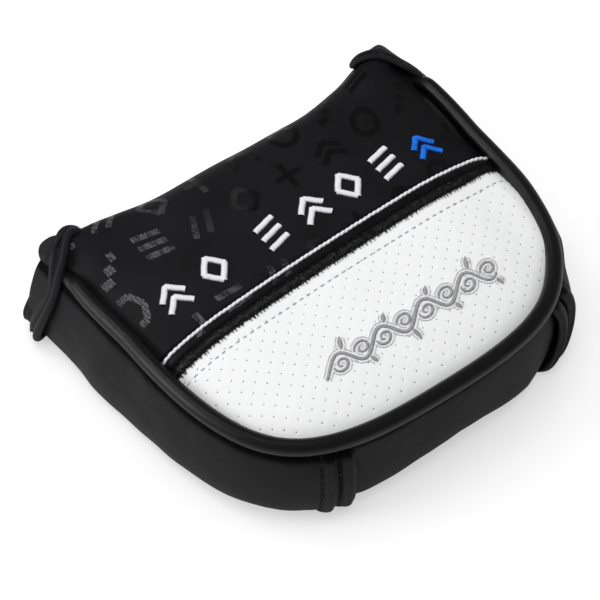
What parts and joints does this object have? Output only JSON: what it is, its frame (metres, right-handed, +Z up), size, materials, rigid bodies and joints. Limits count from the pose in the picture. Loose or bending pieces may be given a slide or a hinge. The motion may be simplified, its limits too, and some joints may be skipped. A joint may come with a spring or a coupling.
{
  "type": "putter head cover",
  "caption": "D-shaped padded pouch for a mallet putter head, with a corded edge, a two-tone top panel and a magnetic fold-over flap.",
  "frame": {"origin": "centre of the footprint on the resting plane", "axes": "+X towards the toe side, +Y towards the mouth, +Z up through the decorated panel"},
  "size_m": [0.132, 0.1084, 0.0372],
  "materials": {
    "leather_grey": "matte pebbled grain",
    "leather_black": "matte, with a faint tonal print",
    "leather_white": "perforated, satin",
    "foam": "open-cell sheet foam",
    "lining": "short plush",
    "cord": "extruded",
    "magnet": "nickel plated",
    "thread_white": "satin stitch",
    "thread_blue": "satin stitch",
    "thread_grey": "satin stitch",
    "thread_dark": "twisted thread"
  },
  "bodies": {
    "shell": {"side_gusset_heel": "leather_grey", "side_gusset_toe": "leather_grey", "pleat_strip_heel": "leather_grey", "pleat_strip_toe": "leather_grey", "rear_gusset": "leather_grey", "corner_cap_heel": "leather_grey", "corner_cap_toe": "leather_grey", "piping_cover": "leather_black", "top_panel_front": "leather_black", "seam_hem_fold": "leather_black", "bottom_panel_leather": "leather_grey", "bottom_edge_binding": "leather_black", "top_panel_rear": "leather_white", "side_foam_heel": "foam", "side_foam_toe": "foam", "rear_foam": "foam", "bottom_panel_foam": "foam", "top_panel_foam": "foam", "side_lining_heel": "lining", "side_lining_toe": "lining", "rear_lining": "lining", "bottom_panel_lining": "lining", "top_panel_lining": "lining", "piping_cord": "cord", "bottom_panel_magnets": "magnet", "seam_rope_stitch": "thread_white", "motif_embroidery_white": "thread_white", "motif_embroidery_blue": "thread_blue", "scroll_embroidery_grey": "thread_grey", "rear_panel_topstitch": "thread_dark", "zigzag_stitch_band": "thread_dark", "pleat_stitch_heel": "thread_dark", "pleat_stitch_toe": "thread_dark", "corner_cap_stitch_heel": "thread_dark", "corner_cap_stitch_toe": "thread_dark"},
    "flap": {"flap_front_leather": "leather_black", "flap_front_foam": "foam", "flap_front_lining": "lining", "flap_edge_stitch": "thread_dark"},
    "flap_tip": {"flap_tip_leather": "leather_black", "flap_tip_foam": "foam", "flap_tip_lining": "lining", "flap_magnets": "magnet"}
  },
  "joints": [
    {"name": "flap_fold", "type": "hinge", "parent": "shell", "child": "flap", "pos_m": [0, 0.04635, 0.0352], "axis": [1, 0, 0], "range_deg": [0, 150], "stiffness_Nm_per_rad": 0.002},
    {"name": "flap_tip_fold", "type": "hinge", "parent": "flap", "child": "flap_tip", "pos_m": [0, 0.0479, 0.0018], "axis": [1, 0, 0], "range_deg": [0, 90], "stiffness_Nm_per_rad": 0.002}
  ]
}
